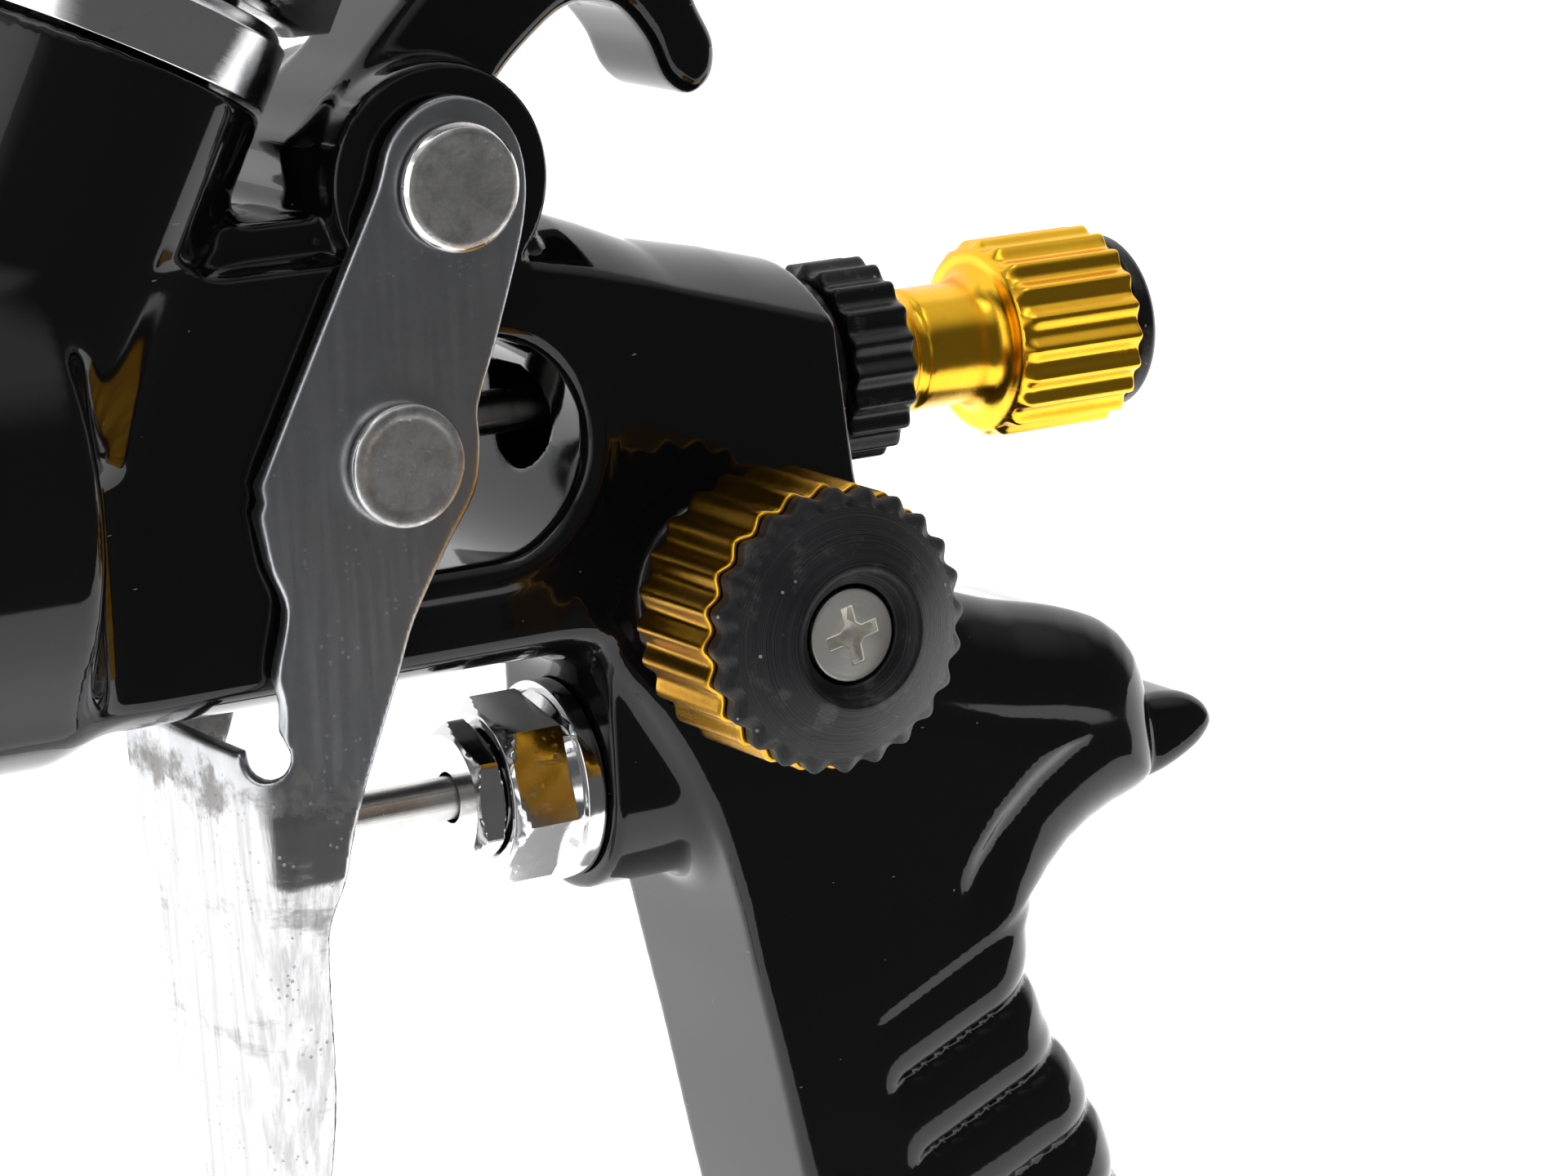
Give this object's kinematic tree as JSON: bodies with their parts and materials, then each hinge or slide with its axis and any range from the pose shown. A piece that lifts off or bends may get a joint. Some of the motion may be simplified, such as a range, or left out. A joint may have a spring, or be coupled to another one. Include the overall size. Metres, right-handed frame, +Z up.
{
  "type": "spray gun",
  "caption": "Gravity-feed spray gun with a tilted top cup, pull trigger, hanging hook, fluted fluid and fan control knobs, horned air cap and threaded air inlet.",
  "frame": {"origin": "centre of the air inlet's end face, at the bottom of the handle", "axes": "+X runs back along the needle, away from the nozzle; +Z up the inlet's axis; the fan control knob is on the -Y side"},
  "size_m": [0.1469, 0.0872, 0.2909],
  "materials": {
    "gloss_black_paint": "gloss",
    "chrome": "polished",
    "polished_steel": "brushed",
    "gold_anodised": "satin anodised",
    "amber_anodised": "satin anodised",
    "black_anodised": "satin anodised",
    "brass": "satin",
    "spun_aluminium": "satin",
    "black_plastic": "satin",
    "seal_plastic": "matt"
  },
  "bodies": {
    "gun": {"gun_body": "gloss_black_paint", "air_baffle_ring": "black_plastic", "fluid_nozzle": "polished_steel", "needle_packing": "seal_plastic", "needle_packing_nut": "brass", "rear_bushing": "black_anodised", "valve_housing_nut": "chrome", "valve_packing_nut": "chrome", "valve_packing": "seal_plastic", "fan_gland": "black_anodised", "pivot_pin": "polished_steel", "pivot_retainer": "polished_steel", "cup_port_collar": "chrome", "cup_connector": "chrome", "paint_cup": "spun_aluminium", "paint_strainer": "seal_plastic", "air_inlet_fitting": "chrome", "inlet_washer": "seal_plastic", "needle_spring": "polished_steel", "valve_spring": "polished_steel"},
    "trigger": {"trigger": "polished_steel", "needle_yoke": "polished_steel", "yoke_retainer": "polished_steel"},
    "needle": {"needle": "polished_steel", "needle_collar": "chrome"},
    "valve_stem": {"valve_stem": "polished_steel"},
    "fluid_knob_travel": {"needle_spring_seat": "brass"},
    "fluid_knob": {"fluid_knob": "gold_anodised", "fluid_knob_cap": "black_anodised"},
    "lock_ring": {"lock_ring": "black_anodised"},
    "fan_knob_travel": {"fan_spindle_seal": "seal_plastic"},
    "fan_knob": {"fan_knob": "amber_anodised", "fan_knob_cap": "black_anodised", "fan_knob_screw": "chrome", "fan_spindle": "brass"},
    "air_cap_travel": {"cap_retaining_clip": "polished_steel"},
    "air_cap": {"air_cap": "amber_anodised"},
    "air_cap_ring": {"air_cap_ring": "amber_anodised"},
    "lid_travel": {"lid_gasket": "seal_plastic"},
    "lid": {"cup_lid": "black_plastic", "vent_plug": "seal_plastic"}
  },
  "joints": [
    {"name": "trigger_pull", "type": "hinge", "parent": "gun", "child": "trigger", "pos_m": [-0.056, 0, 0.1498], "axis": [0, -1, 0], "range_deg": [0, 10.5], "stiffness_Nm_per_rad": 1.5, "springref_deg": -5.73},
    {"name": "needle_slide", "type": "slide", "parent": "gun", "child": "needle", "axis": [1, 0, 0], "range_m": [0, 0.0038], "deforming": ["needle_spring"]},
    {"name": "valve_stem_slide", "type": "slide", "parent": "gun", "child": "valve_stem", "axis": [1, 0, 0], "range_m": [0, 0.0092], "deforming": ["valve_spring"]},
    {"name": "fluid_knob_travel", "type": "slide", "parent": "gun", "child": "fluid_knob_travel", "axis": [1, 0, 0], "range_m": [-0.003, 0.004]},
    {"name": "fluid_knob_turn", "type": "hinge", "parent": "fluid_knob_travel", "child": "fluid_knob", "pos_m": [-0.00308, 0, 0.13], "axis": [1, 0, 0], "range_deg": [-1079, 1439]},
    {"name": "lock_ring_turn", "type": "hinge", "parent": "gun", "child": "lock_ring", "pos_m": [-0.016, 0, 0.13], "axis": [1, 0, 0], "range_deg": [0, 270]},
    {"name": "fan_knob_travel", "type": "slide", "parent": "gun", "child": "fan_knob_travel", "axis": [0, -1, 0], "range_m": [0, 0.003]},
    {"name": "fan_knob_turn", "type": "hinge", "parent": "fan_knob_travel", "child": "fan_knob", "pos_m": [-0.03424, -0.02, 0.11559], "axis": [0, -1, 0], "range_deg": [0, 1079]},
    {"name": "air_cap_travel", "type": "slide", "parent": "gun", "child": "air_cap_travel", "axis": [-1, 0, 0], "range_m": [0, 0.005]},
    {"name": "air_cap_turn", "type": "hinge", "parent": "air_cap_travel", "child": "air_cap", "pos_m": [-0.111, 0, 0.13], "axis": [-1, 0, 0], "continuous": true},
    {"name": "air_cap_ring_turn", "type": "hinge", "parent": "air_cap_travel", "child": "air_cap_ring", "pos_m": [-0.108, 0, 0.13], "axis": [-1, 0, 0], "range_deg": [0, 1799]},
    {"name": "lid_travel", "type": "slide", "parent": "gun", "child": "lid_travel", "axis": [0.454, 0, 0.891], "range_m": [0, 0.006]},
    {"name": "lid_turn", "type": "hinge", "parent": "lid_travel", "child": "lid", "pos_m": [-0.02543, 0, 0.26614], "axis": [0.454, 0, 0.891], "range_deg": [0, 539]}
  ],
  "couplings": [
    {"joint": "needle_slide", "follows": "trigger_pull", "m_per_rad": 0.0205},
    {"joint": "valve_stem_slide", "follows": "trigger_pull", "m_per_rad": 0.0486},
    {"joint": "fluid_knob_travel", "follows": "fluid_knob_turn", "m_per_rad": 0.00015915},
    {"joint": "fan_knob_travel", "follows": "fan_knob_turn", "m_per_rad": 0.00015915},
    {"joint": "air_cap_travel", "follows": "air_cap_ring_turn", "m_per_rad": 0.00015915},
    {"joint": "lid_travel", "follows": "lid_turn", "m_per_rad": 0.00063662}
  ]
}
